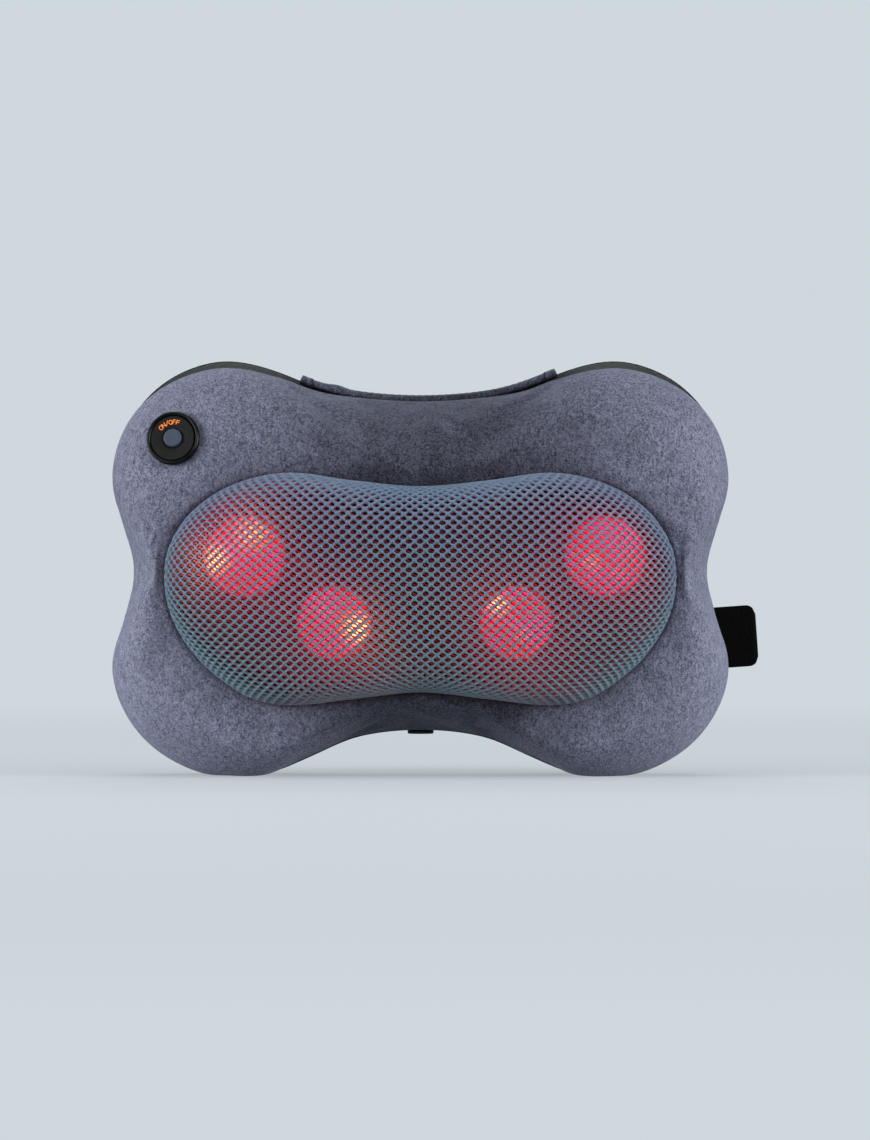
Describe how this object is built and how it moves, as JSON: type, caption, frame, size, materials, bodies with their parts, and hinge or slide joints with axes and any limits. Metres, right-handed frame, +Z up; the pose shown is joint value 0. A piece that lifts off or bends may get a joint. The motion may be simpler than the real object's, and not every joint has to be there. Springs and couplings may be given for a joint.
{
  "type": "shiatsu massage pillow",
  "caption": "Butterfly-shaped padded neck massager with rotating heated kneading heads under an air-mesh window, a push button, a carry band and a rear strap.",
  "frame": {"origin": "bottom centre of the whole massager's box, strap end included, with the pillow standing on its two lower lobes", "axes": "+X to the right seen from the front, along the pillow's length; +Y towards the back panel, so the massage face looks along -Y; +Z up"},
  "size_m": [0.3456, 0.1136, 0.2221],
  "materials": {
    "plush": "short pile plush",
    "air_mesh": "knitted air mesh",
    "grey_knit": "smooth knit",
    "foam": "open cell foam",
    "webbing": "woven webbing",
    "black_plastic": "satin moulded",
    "gloss_black": "gloss moulded",
    "slate_plastic": "satin moulded",
    "white_nylon": "moulded nylon",
    "red_lens": "translucent red",
    "steel": "plated",
    "bronze": "sintered bronze",
    "circuit_board": "solder mask",
    "lead_sheath": "smooth sheath"
  },
  "bodies": {
    "pillow": {"front_cover": "plush", "mesh_panel": "air_mesh", "side_band": "grey_knit", "rear_piping": "webbing", "back_panel": "grey_knit", "foam_ring": "foam", "top_handle": "plush", "handle_tab_left": "plush", "handle_tab_right": "plush", "strap_long": "webbing", "strap_short": "webbing", "zip_tape_upper": "webbing", "zip_tape_lower": "webbing", "zip_teeth": "webbing", "base_shell": "black_plastic", "top_shell": "black_plastic", "motor_can": "steel", "motor_end_cap": "black_plastic", "main_board": "circuit_board", "housing_screw_1": "steel", "housing_screw_2": "steel", "housing_screw_3": "steel", "housing_screw_4": "steel", "shaft_bush_left": "bronze", "rear_bush_left": "bronze", "front_bush_left": "bronze", "shaft_bush_right": "bronze", "rear_bush_right": "bronze", "front_bush_right": "bronze", "dc_jack": "black_plastic", "jack_lead": "lead_sheath", "button_lead": "lead_sheath", "button_bezel": "gloss_black", "button_face": "black_plastic", "tact_switch": "black_plastic", "button_board": "circuit_board", "button_clamp_ring": "white_nylon"},
    "left_rotor": {"worm_wheel_left": "white_nylon", "output_shaft_left": "steel", "slip_ring_left": "bronze", "rotor_arm_left": "black_plastic", "massage_head_left_outer": "red_lens", "massage_head_left_inner": "red_lens", "heat_lamp_left_outer": "red_lens", "heat_lamp_left_inner": "red_lens"},
    "right_rotor": {"worm_wheel_right": "white_nylon", "output_shaft_right": "steel", "slip_ring_right": "bronze", "rotor_arm_right": "black_plastic", "massage_head_right_outer": "red_lens", "massage_head_right_inner": "red_lens", "heat_lamp_right_outer": "red_lens", "heat_lamp_right_inner": "red_lens"},
    "motor_rotor": {"motor_shaft": "steel", "worm_left": "white_nylon", "worm_right": "white_nylon"},
    "power_button": {"power_button": "slate_plastic"},
    "zip_slider": {"zip_slider": "steel"},
    "zip_pull": {"zip_pull": "steel"},
    "strap_end": {"strap_tab": "webbing"}
  },
  "joints": [
    {"name": "left_rotor_spin", "type": "hinge", "parent": "pillow", "child": "left_rotor", "pos_m": [-0.07805, 0.02219, 0.0992], "axis": [0, 1, 0], "continuous": true},
    {"name": "right_rotor_spin", "type": "hinge", "parent": "pillow", "child": "right_rotor", "pos_m": [0.06495, 0.02219, 0.0992], "axis": [0, 1, 0], "continuous": true},
    {"name": "motor_spin", "type": "hinge", "parent": "pillow", "child": "motor_rotor", "pos_m": [-0.00655, 0.02519, 0.1297], "axis": [1, 0, 0], "continuous": true},
    {"name": "power_button_press", "type": "slide", "parent": "pillow", "child": "power_button", "axis": [0.2215, 0.9596, -0.1736], "range_m": [0, 0.0012], "stiffness_N_per_m": 800},
    {"name": "zip_slide", "type": "slide", "parent": "pillow", "child": "zip_slider", "axis": [1, 0, 0], "range_m": [-0.188, 0]},
    {"name": "zip_pull_flip", "type": "hinge", "parent": "zip_slider", "child": "zip_pull", "pos_m": [0.08495, 0.05479, 0.1542], "axis": [0, 0, -1], "range_deg": [0, 170]},
    {"name": "strap_end_flex", "type": "hinge", "parent": "pillow", "child": "strap_end", "pos_m": [0.14095, 0.05489, 0.0722], "axis": [0, 0, 1], "range_deg": [0, 110]}
  ],
  "couplings": [
    {"joint": "right_rotor_spin", "follows": "left_rotor_spin", "ratio": -1},
    {"joint": "motor_spin", "follows": "left_rotor_spin", "ratio": 32}
  ]
}
